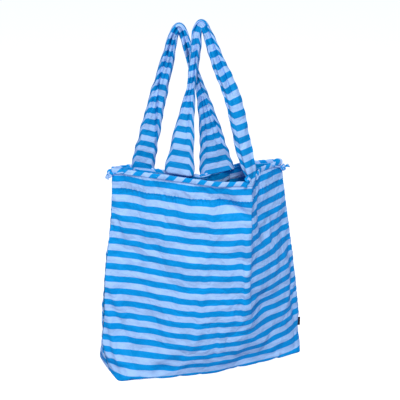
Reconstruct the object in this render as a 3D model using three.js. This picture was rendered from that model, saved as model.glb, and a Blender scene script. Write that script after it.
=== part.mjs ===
// A folding drawstring tote of thin striped fabric, standing on its boxed base with both
// carrying handles held up. Millimetres, +Z up. The origin is the middle of the base's underside,
// +X runs along the bag towards the right side seam, and the front faces -Y.
import * as THREE from 'three';
import * as BufferGeometryUtils from 'three/addons/utils/BufferGeometryUtils.js';

// ---- driving dimensions ----
const RIM_HEIGHT = 383; // floor to the front's top edge
const BACK_RIM_SAG = 8; // how far the back's top edge hangs below the front's
const FABRIC = 1.4; // a wall: the cloth with its creases
const GAP = 0.3; // between pieces that are sewn edge to edge
const LAYER_GAP = 1; // between layers that lie on each other round the front's fold
const SEAM_INSET = 2.6; // a panel stops this far from its side seam
const CASING_HEIGHT = 13; // the bias band that the drawstring runs through
const CASING_DEPTH = 6.6;
const CASING_WALL = 1.2;
const CORD_RADIUS = 1.5;
const FACING_HEIGHT = 34; // the band inside the top edge
const FACING_THICKNESS = 1;
const STRAP_END_HEIGHT = 26; // the sewn end of a handle, between panel and facing
const STRAP_END_THICKNESS = 1.2;
const FRONT_FOOT = RIM_HEIGHT + 0.8; // a handle's free length starts just above the top edge
const BACK_FOOT = RIM_HEIGHT - 3.2;
const BINDING_WIDTH = 8; // tape over the raw edges of a seam, inside the bag
const BINDING_THICKNESS = 1.2;
const STUB_LENGTH = 24; // drawstring inside the casing that a knot pulls out

// The body's level sections, floor to rim. Corners go round from the left seam: three along the
// front, the right seam, three along the back. `soft` rounds the corners: it is the share of a
// panel's width that each corner spreads over.
const SECTIONS = [
  { z: 0, seamL: [-175, -12], bend: [-170, -48], fold: [0, -66], flank: [170, -48],
    seamR: [170, 0], heel: [-182, 47], spine: [0, 66], hip: [170, 48], soft: 0.03 },
  { z: 55, seamL: [-186, -8], bend: [-95, -76], fold: [15, -93], flank: [156, -52],
    seamR: [177, -10], heel: [-181, 42], spine: [0, 78], hip: [148, 48], soft: 0.12 },
  { z: 100, seamL: [-182, -6], bend: [-70, -88], fold: [25, -103], flank: [152, -55],
    seamR: [171, -14], heel: [-178, 36], spine: [-5, 80], hip: [140, 46], soft: 0.16 },
  { z: 190, seamL: [-176, -4], bend: [-40, -94], fold: [44, -121], flank: [136, -58],
    seamR: [156, -24], heel: [-171, 28], spine: [-15, 50], hip: [118, 26], soft: 0.08 },
  { z: 280, seamL: [-162, 4], bend: [-20, -98], fold: [49, -122], flank: [76, -84],
    seamR: [140, -30], heel: [-147, 20], spine: [-18, -2], hip: [95, -2], soft: 0.03 },
  { z: 383, seamL: [-158, -4], bend: [-8, -113], fold: [42, -123], flank: [73, -72],
    seamR: [119, -50], heel: [-124, 4], spine: [-23, -62], hip: [58, -34], soft: 0.025 },
];
const FRONT_CORNERS = ['seamL', 'bend', 'fold', 'flank', 'seamR'];
const BACK_CORNERS = ['seamL', 'heel', 'spine', 'hip', 'seamR'];

// A handle is a strap that stands on the rim at two feet. Its route has a width and a thickness
// at each point; the feet themselves are the first and the last point.
const FRONT_HANDLE = {
  feet: [0.22, 0.68],
  route: [
    { at: [-60, -66, FRONT_FOOT], width: 42, depth: 4 }, { at: [-51, -62, 459], width: 30, depth: 5 },
    { at: [-41, -60, 525], width: 14, depth: 7 }, { at: [-32, -57, 590], width: 16, depth: 7 },
    { at: [-27, -57, 620], width: 16, depth: 7 }, { at: [-20, -60, 628], width: 16, depth: 7 },
    { at: [-14, -63, 617], width: 16, depth: 7 }, { at: [-3, -75, 575], width: 21, depth: 6 },
    { at: [18, -94, 513], width: 25, depth: 5 }, { at: [32, -111, 434], width: 26, depth: 5 },
    { at: [40, -120, FRONT_FOOT], width: 32, depth: 4 },
  ],
};
const BACK_HANDLE = {
  feet: [0.19, 0.6],
  route: [
    { at: [-108, -8, BACK_FOOT], width: 38, depth: 4 }, { at: [-102, -11, 412], width: 35, depth: 4 },
    { at: [-84, -20, 499], width: 27, depth: 5 }, { at: [-68, -27, 567], width: 20, depth: 6 },
    { at: [-59, -31, 606], width: 14, depth: 7 }, { at: [-51, -34, 618], width: 14, depth: 7 },
    { at: [-43, -37, 600], width: 15, depth: 7 }, { at: [-33, -40, 557], width: 13, depth: 7 },
    { at: [-20, -43, 517], width: 14, depth: 6 }, { at: [-2, -47, 449], width: 34, depth: 5 },
    { at: [11, -50, BACK_FOOT], width: 56, depth: 4 },
  ],
};
const STRAP_STEPS = 40;

// ---- materials ----
const fabricMaterial = (color) =>
  new THREE.MeshStandardMaterial({ color, roughness: 0.55, metalness: 0 });
const STRIPED = fabricMaterial(0x4aa3ea);
const BIAS = fabricMaterial(0x7ab4f0);
const CORD = fabricMaterial(0x2f86d6);
const BINDING = fabricMaterial(0x9bc3f7);
const LABEL = fabricMaterial(0x10131c);

// ---- the body's shape ----
function sectionAt(z) {
  const last = SECTIONS.length - 1;
  let i = 0;
  while (i < last - 1 && z > SECTIONS[i + 1].z) i += 1;
  const [before, from, to, after] = [i - 1, i, i + 1, i + 2].map(
    (n) => SECTIONS[THREE.MathUtils.clamp(n, 0, last)],
  );
  const span = to.z - from.z;
  const t = (z - from.z) / span;
  const cubic = (read) => {
    const slopeIn = (read(to) - read(before)) / (to.z - before.z);
    const slopeOut = (read(after) - read(from)) / (after.z - from.z);
    return (
      (2 * t ** 3 - 3 * t ** 2 + 1) * read(from) +
      (t ** 3 - 2 * t ** 2 + t) * span * slopeIn +
      (3 * t ** 2 - 2 * t ** 3) * read(to) +
      (t ** 3 - t ** 2) * span * slopeOut
    );
  };
  const section = { soft: cubic((s) => s.soft) };
  for (const corner of new Set([...FRONT_CORNERS, ...BACK_CORNERS])) {
    section[corner] = new THREE.Vector2(cubic((s) => s[corner][0]), cubic((s) => s[corner][1]));
  }
  return section;
}

// A point of a panel's level section, at a share u of the way from the left seam to the right.
function pointOnSection(section, corners, u) {
  const path = corners.map((name) => section[name]);
  const lengths = path.slice(1).map((p, i) => p.distanceTo(path[i]));
  let left = u * lengths.reduce((a, b) => a + b);
  let i = 0;
  while (i < lengths.length - 1 && left > lengths[i]) {
    left -= lengths[i];
    i += 1;
  }
  return path[i].clone().lerp(path[i + 1], left / lengths[i]);
}

const ROUNDING_SAMPLES = 12;
function roundedPoint(section, corners, u) {
  const reach = Math.min(section.soft, u, 1 - u);
  const sum = new THREE.Vector2();
  let weights = 0;
  for (let i = -ROUNDING_SAMPLES; i <= ROUNDING_SAMPLES; i += 1) {
    const weight = 1 + Math.cos((Math.PI * i) / (ROUNDING_SAMPLES + 1));
    const shift = (reach * i) / ROUNDING_SAMPLES;
    sum.addScaledVector(pointOnSection(section, corners, u + shift), weight);
    weights += weight;
  }
  return sum.divideScalar(weights);
}

const FRONT = { corners: FRONT_CORNERS, outward: -1, rim: () => RIM_HEIGHT };
const BACK = {
  corners: BACK_CORNERS,
  outward: 1,
  rim: (u) => RIM_HEIGHT - BACK_RIM_SAG * Math.sin(Math.PI * u),
};

// A point at a share u across a side, at height z, standing `out` from the wall's inner face.
function wallPoint(side, u, z, out) {
  const section = sectionAt(z);
  const step = 0.004;
  const [a, b] = [Math.max(u - step, 0), Math.min(u + step, 1)];
  const along = roundedPoint(section, side.corners, b).sub(roundedPoint(section, side.corners, a));
  const normal = new THREE.Vector2(-along.y, along.x).normalize().multiplyScalar(side.outward);
  const p = roundedPoint(section, side.corners, u).addScaledVector(normal, out);
  return new THREE.Vector3(p.x, p.y, z);
}

function widthAt(side, z) {
  const path = side.corners.map((name) => sectionAt(z)[name]);
  return path.slice(1).reduce((sum, p, i) => sum + p.distanceTo(path[i]), 0);
}

// ---- closed solids from rings of points ----
// Each ring goes up one face of the piece and back down the other.
function solidFromRings(rings) {
  const size = rings[0].length;
  const positions = rings.flat().flatMap((p) => [p.x, p.y, p.z]);
  const index = [];
  const quad = (a, b, c, d) => index.push(a, b, c, a, c, d);
  for (let r = 0; r < rings.length - 1; r += 1) {
    for (let i = 0; i < size; i += 1) {
      const next = (i + 1) % size;
      quad(r * size + i, r * size + next, (r + 1) * size + next, (r + 1) * size + i);
    }
  }
  const end = (rings.length - 1) * size;
  for (let i = 0; i < size / 2 - 1; i += 1) {
    const across = size - 1 - i;
    quad(i, across, across - 1, i + 1);
    quad(end + i, end + i + 1, end + across - 1, end + across);
  }
  return facingOut(positions, index);
}

// A pipe: outer rings with matching inner rings, open at both ends.
function pipeFromRings(outer, inner) {
  const size = outer[0].length;
  const positions = [...outer, ...inner].flat().flatMap((p) => [p.x, p.y, p.z]);
  const index = [];
  const quad = (a, b, c, d) => index.push(a, b, c, a, c, d);
  const innerStart = outer.length * size;
  const last = outer.length - 1;
  for (let i = 0; i < size; i += 1) {
    const next = (i + 1) % size;
    for (let r = 0; r < last; r += 1) {
      const [low, high] = [r * size, (r + 1) * size];
      quad(low + i, low + next, high + next, high + i);
      quad(innerStart + low + next, innerStart + low + i, innerStart + high + i,
        innerStart + high + next);
    }
    quad(i, innerStart + i, innerStart + next, next);
    quad(last * size + i, last * size + next, innerStart + last * size + next,
      innerStart + last * size + i);
  }
  return facingOut(positions, index);
}

function facingOut(positions, index) {
  const p = (i) => new THREE.Vector3().fromArray(positions, 3 * i);
  let volume = 0;
  for (let i = 0; i < index.length; i += 3) {
    volume += p(index[i]).dot(p(index[i + 1]).cross(p(index[i + 2])));
  }
  if (volume < 0) {
    for (let i = 0; i < index.length; i += 3) {
      [index[i], index[i + 1]] = [index[i + 1], index[i]];
    }
  }
  const geometry = new THREE.BufferGeometry();
  geometry.setAttribute('position', new THREE.Float32BufferAttribute(positions, 3));
  geometry.setIndex(index);
  return geometry;
}

const shares = (count) => Array.from({ length: count + 1 }, (_, i) => i / count);

// Every layer of a wall bends at the same shares u, so that layers never cut into each other.
const COLUMNS = 36;
function columnsBetween(from, to) {
  const inside = shares(COLUMNS).filter((u) => u > from + 0.004 && u < to - 0.004);
  return [from, ...inside, to];
}

// A layer of a side: from `inner` to `outer` off the wall's inner face, between two shares u of
// its width and two heights, each a function of u.
function layer(side, [from, to], [low, high], [inner, outer], up) {
  const rings = columnsBetween(from, to).map((u) => {
    const heights = shares(up).map((t) => THREE.MathUtils.lerp(low(u), high(u), t));
    return [
      ...heights.map((z) => wallPoint(side, u, z, outer)),
      ...heights.reverse().map((z) => wallPoint(side, u, z, inner)),
    ];
  });
  return solidFromRings(rings);
}

// ---- pieces ----
const pieces = new THREE.Group();
function add(name, geometry, material) {
  geometry.computeVertexNormals();
  const mesh = new THREE.Mesh(geometry, material);
  mesh.name = name;
  pieces.add(mesh);
}

const acrossSeams = (side, inset = SEAM_INSET) => {
  const margin = inset / widthAt(side, RIM_HEIGHT);
  return [margin, 1 - margin];
};
const belowRim = (side, drop) => (u) => side.rim(u) - drop;

function panel(side) {
  const bottom = () => FABRIC + GAP;
  const top = belowRim(side, CASING_HEIGHT + GAP);
  return layer(side, acrossSeams(side), [bottom, top], [0, FABRIC], 10);
}

function casing(side) {
  const [from, to] = acrossSeams(side);
  const ring = (u, wall) => {
    const [low, high] = [side.rim(u) - CASING_HEIGHT + wall, side.rim(u) - wall];
    const [inner, outer] = [wall, CASING_DEPTH - wall];
    return [
      wallPoint(side, u, low, outer), wallPoint(side, u, high, outer),
      wallPoint(side, u, high, inner), wallPoint(side, u, low, inner),
    ];
  };
  const stops = columnsBetween(from, to);
  return pipeFromRings(
    stops.map((u) => ring(u, 0)),
    stops.map((u) => ring(u, CASING_WALL)),
  );
}

const cordCentre = (side, u) =>
  wallPoint(side, u, side.rim(u) - CASING_HEIGHT / 2, CASING_DEPTH / 2);

function circle(centre, direction, radius, sides = 8) {
  const across = new THREE.Vector3(0, 0, 1).cross(direction).normalize();
  const up = direction.clone().cross(across).normalize();
  return Array.from({ length: sides }, (_, i) => {
    const angle = (2 * Math.PI * (i + 0.5)) / sides;
    return centre
      .clone()
      .addScaledVector(across, radius * Math.cos(angle))
      .addScaledVector(up, radius * Math.sin(angle));
  });
}

function drawstring(side) {
  const clear = (STUB_LENGTH + 6) / widthAt(side, RIM_HEIGHT);
  const rings = columnsBetween(clear, 1 - clear).map((u) => {
    const direction = cordCentre(side, u + 0.002).sub(cordCentre(side, u - 0.002));
    return circle(cordCentre(side, u), direction.normalize(), CORD_RADIUS);
  });
  return solidFromRings(rings);
}

// A knotted end of the drawstring: the stub in the casing, the knot's lump and a short tail.
// Each stop is [distance out from the seam, radius].
const KNOT_PROFILE = [
  [-STUB_LENGTH, CORD_RADIUS], [0, CORD_RADIUS], [3, 2.2], [5, 5], [8, 6.8], [11, 5.5],
  [13, 2.6], [16, 2.2], [20, 4], [22, 3.6],
];
function sideKnot(atLeft) {
  const margin = SEAM_INSET / widthAt(FRONT, RIM_HEIGHT);
  const [seam, inside] = atLeft ? [margin, 0.06] : [1 - margin, 0.94];
  const mouth = cordCentre(FRONT, seam);
  const out = mouth.clone().sub(cordCentre(FRONT, inside)).normalize();
  return solidFromRings(
    KNOT_PROFILE.map(([distance, radius]) =>
      circle(mouth.clone().addScaledVector(out, distance), out, radius)),
  );
}

// The tied end at the front's fold: a small lump with a tail that hangs down the casing.
const FRONT_KNOT_PROFILE = [
  [0, 2], [1.5, 5], [4.5, 6], [7.5, 4.5], [9, 2], [13, 2.2], [20, 3], [22, 2.4],
];
const FRONT_KNOT_TOP = 4; // above the rim
function frontKnot() {
  const u = FRONT_HANDLE.feet[1] - 0.055;
  const top = wallPoint(FRONT, u, RIM_HEIGHT, CASING_DEPTH + 6.6);
  const down = new THREE.Vector3(-0.1, -0.05, -1).normalize();
  const across = new THREE.Vector3(1, 0, 0);
  const ringAt = (distance, radius) => {
    const centre = top.clone().addScaledVector(down, distance - FRONT_KNOT_TOP);
    return shares(8).slice(1).map((s) => centre.clone()
      .addScaledVector(across, radius * Math.cos(2 * Math.PI * s))
      .addScaledVector(new THREE.Vector3(0, 1, 0), radius * Math.sin(2 * Math.PI * s)));
  };
  return solidFromRings(FRONT_KNOT_PROFILE.map(([distance, radius]) => ringAt(distance, radius)));
}

const FACING_OUTER = -(STRAP_END_THICKNESS + 2 * LAYER_GAP);
function facing(side) {
  const heights = [belowRim(side, FACING_HEIGHT), belowRim(side, GAP)];
  const depths = [FACING_OUTER - FACING_THICKNESS, FACING_OUTER];
  return layer(side, acrossSeams(side, 20), heights, depths, 2);
}

function strapEnd(side, foot, width) {
  const half = width / 2 / widthAt(side, RIM_HEIGHT);
  const column = (u) => Math.round(u * COLUMNS) / COLUMNS;
  const heights = [belowRim(side, STRAP_END_HEIGHT), belowRim(side, GAP)];
  const depths = [-LAYER_GAP - STRAP_END_THICKNESS, -LAYER_GAP];
  return layer(side, [column(foot - half), column(foot + half)], heights, depths, 2);
}

// The free length of a handle: a flat strap whose faces look across the handle's own plane.
function strap(route) {
  const stops = route.map((stop) => new THREE.Vector3(...stop.at));
  const curve = new THREE.CatmullRomCurve3(stops, false, 'centripetal');
  const top = stops.reduce((a, b) => (b.z > a.z ? b : a));
  const normal = stops.at(-1).clone().sub(stops[0]).cross(top.clone().sub(stops[0])).normalize();
  const sizeAt = (t, key) => {
    const place = Math.min(t * (route.length - 1), route.length - 1 - 1e-9);
    const i = Math.floor(place);
    return THREE.MathUtils.lerp(route[i][key], route[i + 1][key], place - i);
  };
  const rings = shares(STRAP_STEPS).map((t) => {
    const level = t === 0 || t === 1;
    const along = level ? new THREE.Vector3(0, 0, t ? -1 : 1) : curve.getTangent(t);
    const across = normal.clone().cross(along).normalize();
    const [width, depth] = [sizeAt(t, 'width') / 2, sizeAt(t, 'depth') / 2];
    const outline = [
      [-1, 0], [-0.8, 0.8], [0, 1], [0.8, 0.8], [1, 0], [0.8, -0.8], [0, -1], [-0.8, -0.8],
    ];
    const face = along.clone().cross(across);
    return outline.map(([x, y]) => curve.getPoint(t)
      .addScaledVector(across, x * width)
      .addScaledVector(face, y * depth));
  });
  return solidFromRings(rings);
}

// The base is a flat plate of the lowest section's shape, under both panels.
function base() {
  const edge = (side) => shares(40).map((u) => wallPoint(side, u, 0, FABRIC));
  const outline = [...edge(FRONT), ...edge(BACK).reverse()]
    .filter((p, i, all) => i === 0 || p.distanceTo(all[i - 1]) > 1)
    .map((p) => new THREE.Vector2(p.x, p.y));
  const plate = new THREE.ExtrudeGeometry(new THREE.Shape(outline), {
    depth: FABRIC, bevelEnabled: false,
  });
  plate.deleteAttribute('uv');
  plate.deleteAttribute('normal');
  return BufferGeometryUtils.mergeVertices(plate, 1e-4);
}

// Tape over a side seam's raw edges. It stands into the bag, between the two panels.
const BINDING_START = 6; // from the seam
function sideBinding(seam, share) {
  const inward = (z) => {
    const [front, back] = [FRONT, BACK].map((side) => wallPoint(side, share, z, 0));
    return front.add(back).divideScalar(2).sub(at(z, 0)).setZ(0).normalize();
  };
  const at = (z) => new THREE.Vector3(sectionAt(z)[seam].x, sectionAt(z)[seam].y, z);
  const rings = shares(14).map((s) => {
    const z = THREE.MathUtils.lerp(14, RIM_HEIGHT - FACING_HEIGHT - 4, s);
    const direction = inward(z);
    const thick = new THREE.Vector3(-direction.y, direction.x, 0);
    const corner = (reach, half) => at(z)
      .addScaledVector(direction, reach)
      .addScaledVector(thick, half * BINDING_THICKNESS / 2);
    const [near, far] = [BINDING_START, BINDING_START + BINDING_WIDTH];
    return [corner(near, -1), corner(far, -1), corner(far, 1), corner(near, 1)];
  });
  return solidFromRings(rings);
}

function cornerBinding(direction) {
  const tape = new THREE.BoxGeometry(BINDING_THICKNESS, 64, BINDING_WIDTH);
  const x = SECTIONS[0].seamR[0] - 12;
  tape.translate(direction * x, 0, FABRIC + GAP + BINDING_WIDTH / 2);
  return tape;
}

const LABEL_SIZE = { width: 5, height: 17, thickness: 1, centre: 41 };
function label() {
  const { width, height, thickness, centre } = LABEL_SIZE;
  const seam = sectionAt(centre).seamR;
  const tag = new THREE.BoxGeometry(width, thickness, height);
  return tag.translate(seam.x + width / 2 + 1, seam.y, centre);
}

add('front_panel', panel(FRONT), STRIPED);
add('back_panel', panel(BACK), STRIPED);
add('base_panel', base(), STRIPED);
add('front_casing', casing(FRONT), BIAS);
add('back_casing', casing(BACK), BIAS);
add('front_facing', facing(FRONT), STRIPED);
add('back_facing', facing(BACK), STRIPED);
add('front_drawstring', drawstring(FRONT), CORD);
add('back_drawstring', drawstring(BACK), CORD);
add('left_knot', sideKnot(true), CORD);
add('right_knot', sideKnot(false), CORD);
add('front_knot', frontKnot(), CORD);
for (const [name, side, handle] of [['front', FRONT, FRONT_HANDLE], ['back', BACK, BACK_HANDLE]]) {
  add(`${name}_handle`, strap(handle.route), STRIPED);
  const ends = [handle.route[0].width, handle.route.at(-1).width];
  add(`${name}_handle_left_end`, strapEnd(side, handle.feet[0], ends[0]), STRIPED);
  add(`${name}_handle_right_end`, strapEnd(side, handle.feet[1], ends[1]), STRIPED);
}
add('left_seam_binding', sideBinding('seamL', 0.04), BINDING);
add('right_seam_binding', sideBinding('seamR', 0.96), BINDING);
add('left_corner_binding', cornerBinding(-1), BINDING);
add('right_corner_binding', cornerBinding(1), BINDING);
add('label_tab', label(), LABEL);

export default pieces;
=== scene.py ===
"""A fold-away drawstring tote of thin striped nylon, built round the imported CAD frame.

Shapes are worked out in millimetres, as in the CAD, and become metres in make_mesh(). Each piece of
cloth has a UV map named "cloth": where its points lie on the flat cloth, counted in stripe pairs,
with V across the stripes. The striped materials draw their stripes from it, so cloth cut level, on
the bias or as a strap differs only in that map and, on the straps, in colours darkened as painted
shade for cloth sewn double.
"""
import math

import bmesh
import bpy
import numpy as np
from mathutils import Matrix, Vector


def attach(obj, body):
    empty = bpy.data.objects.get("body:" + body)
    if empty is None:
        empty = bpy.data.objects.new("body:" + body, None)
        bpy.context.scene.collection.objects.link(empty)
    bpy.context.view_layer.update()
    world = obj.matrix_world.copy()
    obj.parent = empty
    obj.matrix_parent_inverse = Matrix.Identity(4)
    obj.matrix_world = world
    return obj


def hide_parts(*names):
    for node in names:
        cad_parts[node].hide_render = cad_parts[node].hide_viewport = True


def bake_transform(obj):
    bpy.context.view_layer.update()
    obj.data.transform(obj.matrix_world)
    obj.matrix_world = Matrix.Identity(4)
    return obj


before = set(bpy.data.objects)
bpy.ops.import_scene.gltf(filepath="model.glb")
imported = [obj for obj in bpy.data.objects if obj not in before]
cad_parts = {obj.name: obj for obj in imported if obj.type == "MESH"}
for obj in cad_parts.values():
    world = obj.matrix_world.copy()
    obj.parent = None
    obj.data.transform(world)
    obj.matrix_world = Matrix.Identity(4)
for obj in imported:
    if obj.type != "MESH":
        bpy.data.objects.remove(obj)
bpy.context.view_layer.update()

MM = 0.001
TAU = 2 * math.pi

# ---- the cloth ----
PITCH = 22.2  # one blue and one periwinkle stripe
STRIPE_START = -12.0  # a blue stripe's upper edge lies this far from the floor, and every pitch up
BACK_SHIFT = 7.0  # the back was cut with its stripes this much out of step
CLOTH_THICKNESS = 0.5
WALL_MIDDLE = 0.7  # the cloth lies in the middle of the CAD wall
BLUE = (0.0012, 0.287, 0.742, 1)
PERIWINKLE = (0.350, 0.565, 0.940, 1)
SHADED_DOUBLE_BLUE = (0.0010, 0.232, 0.610, 1)  # painted shade: the straps' cloth, sewn double, gets darker stripes for the less light that passes through it
SHADED_DOUBLE_PERIWINKLE = (0.315, 0.510, 0.870, 1)
THREAD = (0.006, 0.13, 0.42, 1)
BLACK = (0.006, 0.007, 0.012, 1)

# ---- the body: level sections from the floor to the rim ----
# They are the CAD model's, but from 100 to 280 mm up the heel stands 4 to 6 mm further out, to show
# past the left seam as in the photo, and from 100 mm up the corners are rounded less.
RIM = 383.0
BACK_SAG = 8.0
LEVELS = np.array([0.0, 55.0, 100.0, 190.0, 280.0, RIM])
CORNERS = {
    "seamL": [(-175, -12), (-186, -8), (-182, -6), (-176, -4), (-162, 4), (-158, -4)],
    "bend": [(-170, -48), (-95, -76), (-70, -88), (-40, -94), (-20, -98), (-8, -113)],
    "fold": [(0, -66), (15, -93), (25, -103), (44, -121), (49, -122), (42, -123)],
    "flank": [(170, -48), (156, -52), (152, -55), (136, -58), (76, -84), (73, -72)],
    "seamR": [(170, 0), (177, -10), (171, -14), (156, -24), (140, -30), (119, -50)],
    "heel": [(-182, 47), (-181, 42), (-181, 38), (-175, 30), (-153, 18), (-124, 4)],
    "spine": [(0, 66), (0, 78), (-5, 80), (-15, 50), (-18, -2), (-23, -62)],
    "hip": [(170, 48), (148, 48), (140, 46), (118, 26), (95, -2), (58, -34)],
}
SOFTNESS = [0.03, 0.12, 0.14, 0.05, 0.014, 0.014]  # how far each level's corners are rounded
FRONT = {
    "corners": ["seamL", "bend", "fold", "flank", "seamR"], "outward": -1, "sag": 0.0, "seed": 11,
}
BACK = {
    "corners": ["seamL", "heel", "spine", "hip", "seamR"], "outward": 1, "sag": BACK_SAG, "seed": 47,
}
SEAM_MARGIN = 0.0015  # a wall stops this share of its width from its side seams
ROUNDING_SAMPLES = 12
DIRECTION_STEP = 0.004  # a wall's direction is measured this share of its width to either side

BAND_HEIGHT = 8.4  # the bias-cut band that the drawstring runs through
BAND_DEPTH = 4.6
HEM_LINE = 342.0  # height of the stitching that holds the facing inside the mouth
FLOOR_CURVE = 1.5  # radius of the turn from a wall into the base


def level_values(values, z):
    """A smooth curve through one value a level, read at the heights z."""
    values = np.asarray(values, float)
    i = np.clip(np.searchsorted(LEVELS, z, side="right") - 1, 0, len(LEVELS) - 2)
    before, after = np.maximum(i - 1, 0), np.minimum(i + 2, len(LEVELS) - 1)
    span = LEVELS[i + 1] - LEVELS[i]
    t = (z - LEVELS[i]) / span
    slope_in = (values[i + 1] - values[before]) / (LEVELS[i + 1] - LEVELS[before])
    slope_out = (values[after] - values[i]) / (LEVELS[after] - LEVELS[i])
    return (
        (2 * t**3 - 3 * t**2 + 1) * values[i]
        + (t**3 - 2 * t**2 + t) * span * slope_in
        + (3 * t**2 - 2 * t**3) * values[i + 1]
        + (t**3 - t**2) * span * slope_out
    )


def section_points(side, u, z):
    """The wall's inner face at shares u of its width, one row for each height z."""
    z = np.atleast_1d(np.asarray(z, float))
    u = np.atleast_1d(np.asarray(u, float))
    corners = np.array([CORNERS[name] for name in side["corners"]], float)
    x = np.stack([level_values(c[:, 0], z) for c in corners], 1)
    y = np.stack([level_values(c[:, 1], z) for c in corners], 1)
    soft = level_values(SOFTNESS, z)
    out = np.zeros((len(z), len(u), 2))
    steps = np.arange(-ROUNDING_SAMPLES, ROUNDING_SAMPLES + 1)
    weights = 1 + np.cos(math.pi * steps / (ROUNDING_SAMPLES + 1))
    for row in range(len(z)):
        lengths = np.hypot(np.diff(x[row]), np.diff(y[row]))
        marks = np.concatenate([[0], np.cumsum(lengths)]) / lengths.sum()
        reach = np.minimum(soft[row], np.minimum(u, 1 - u))
        at = u[:, None] + reach[:, None] * steps / ROUNDING_SAMPLES
        out[row, :, 0] = np.interp(at, marks, x[row]) @ weights / weights.sum()
        out[row, :, 1] = np.interp(at, marks, y[row]) @ weights / weights.sum()
    return out


def wall_points(side, u, z, out=0.0):
    """Points of a side, `out` from the wall's inner face. z and out are numbers or one a point."""
    u = np.atleast_1d(np.asarray(u, float))
    levels = np.atleast_1d(np.asarray(z, float))
    flat = section_points(side, u, levels)
    after = section_points(side, np.minimum(u + DIRECTION_STEP, 1), levels)
    before = section_points(side, np.maximum(u - DIRECTION_STEP, 0), levels)
    along = after - before
    normal = np.stack([-along[..., 1], along[..., 0]], -1)
    normal *= side["outward"] / np.linalg.norm(normal, axis=-1, keepdims=True)
    flat = flat + normal * np.broadcast_to(np.asarray(out, float), flat.shape[:2])[..., None]
    height = np.broadcast_to(levels[:, None], flat.shape[:2])
    return np.dstack([flat, height])


def rim_height(side, u):
    return RIM - side["sag"] * np.sin(math.pi * u)


def rim_length(side):
    line = section_points(side, np.linspace(0, 1, 200), RIM)[0]
    return float(np.hypot(*np.diff(line, axis=0).T).sum())


# ---- small tools ----
def smooth(low, high, x):
    """0 up to low, 1 from high, and a smooth rise between."""
    t = np.clip((x - low) / (high - low), 0, 1)
    return t * t * (3 - 2 * t)


def ripple(s, wave, seed, waves=7):
    """An irregular wave along s, about -1 to 1, with a mean length of `wave`."""
    rng = np.random.default_rng(seed)
    total = 0
    for _ in range(waves):
        length = wave * rng.uniform(0.6, 1.8)
        total = total + np.sin(TAU * s / length + rng.uniform(0, TAU))
    return total / math.sqrt(waves)


def crumple(s, h, wave, seed, waves=9, stretch=1.0):
    """An irregular field over the cloth. `stretch` above 1 draws its creases out along h."""
    rng = np.random.default_rng(seed)
    total = 0
    for _ in range(waves):
        angle = rng.uniform(0, math.pi)
        length = wave * rng.uniform(0.6, 1.8)
        across = np.cos(angle) * s + np.sin(angle) * h / stretch
        total = total + np.sin(TAU * across / length + rng.uniform(0, TAU))
    return total / math.sqrt(waves)


def unit(v):
    v = np.asarray(v, float)
    return v / np.linalg.norm(v, axis=-1, keepdims=True)


def path_length(path):
    """The distance along a path at each of its points."""
    return np.concatenate([[0], np.cumsum(np.linalg.norm(np.diff(path, axis=0), axis=1))])


def surface_normals(points):
    across = np.gradient(points, axis=1)
    up = np.gradient(points, axis=0)
    normal = np.cross(across, up)
    return normal / np.maximum(np.linalg.norm(normal, axis=-1, keepdims=True), 1e-9)


def on_cloth(s, h, bias=False):
    """Distances along and up the cloth, in stripe pairs. On the bias they are turned 45 degrees."""
    if bias:
        s, h = (s + h) / math.sqrt(2), (s - h) / math.sqrt(2)
    return np.dstack([s / PITCH, h / PITCH])


def make_mesh(name, points, faces, marks, cloth, material):
    """An object from points in mm. marks gives each face corner's place in the list `cloth`."""
    mesh = bpy.data.meshes.new(name)
    mesh.from_pydata((np.asarray(points).reshape(-1, 3) * MM).tolist(), [], faces)
    layer = mesh.uv_layers.new(name="cloth")
    cloth = np.asarray(cloth, float).reshape(-1, 2)
    layer.data.foreach_set("uv", cloth[np.concatenate(marks)].astype(np.float32).ravel())
    mesh.materials.append(material)
    mesh.polygons.foreach_set("use_smooth", [True] * len(mesh.polygons))
    piece = bpy.data.objects.new(name, mesh)
    bpy.context.scene.collection.objects.link(piece)
    return piece


def grid_faces(rows, cols, wrap):
    """Faces over rows of points, and each face corner's place on the cloth.

    With wrap the rows are rings: the tube's ends are closed, and its cloth has one column more."""
    wide = cols + 1 if wrap else cols
    r, c = np.meshgrid(np.arange(rows - 1), np.arange(wide - 1), indexing="ij")
    r, c = r.ravel(), c.ravel()
    after = (c + 1) % cols
    faces = np.stack([r * cols + c, r * cols + after, (r + 1) * cols + after, (r + 1) * cols + c], 1)
    marks = np.stack([r * wide + c, r * wide + c + 1, (r + 1) * wide + c + 1, (r + 1) * wide + c], 1)
    faces, marks = faces.tolist(), marks.tolist()
    if wrap:
        last = (rows - 1) * cols
        faces += [list(range(cols))[::-1], list(range(last, last + cols))]
        last = (rows - 1) * wide
        marks += [list(range(cols))[::-1], list(range(last, last + cols))]
    return faces, marks


def grid_mesh(name, points, cloth, material, wrap=False):
    """A sheet, or with wrap a tube with closed ends, from rows of points."""
    faces, marks = grid_faces(*points.shape[:2], wrap)
    return make_mesh(name, points, faces, marks, cloth, material)


def face_out(piece):
    """Turns all faces of a closed piece outwards."""
    work = bmesh.new()
    work.from_mesh(piece.data)
    bmesh.ops.recalc_face_normals(work, faces=work.faces)
    work.to_mesh(piece.data)
    work.free()
    return piece


def thicken(piece, thickness=CLOTH_THICKNESS):
    """Gives a sheet its two faces and its edges."""
    solid = piece.modifiers.new("thickness", "SOLIDIFY")
    solid.thickness = thickness * MM
    solid.offset = 0
    done = bpy.data.meshes.new_from_object(
        piece.evaluated_get(bpy.context.evaluated_depsgraph_get())
    )
    piece.modifiers.clear()
    piece.data = done
    return face_out(piece)


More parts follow.
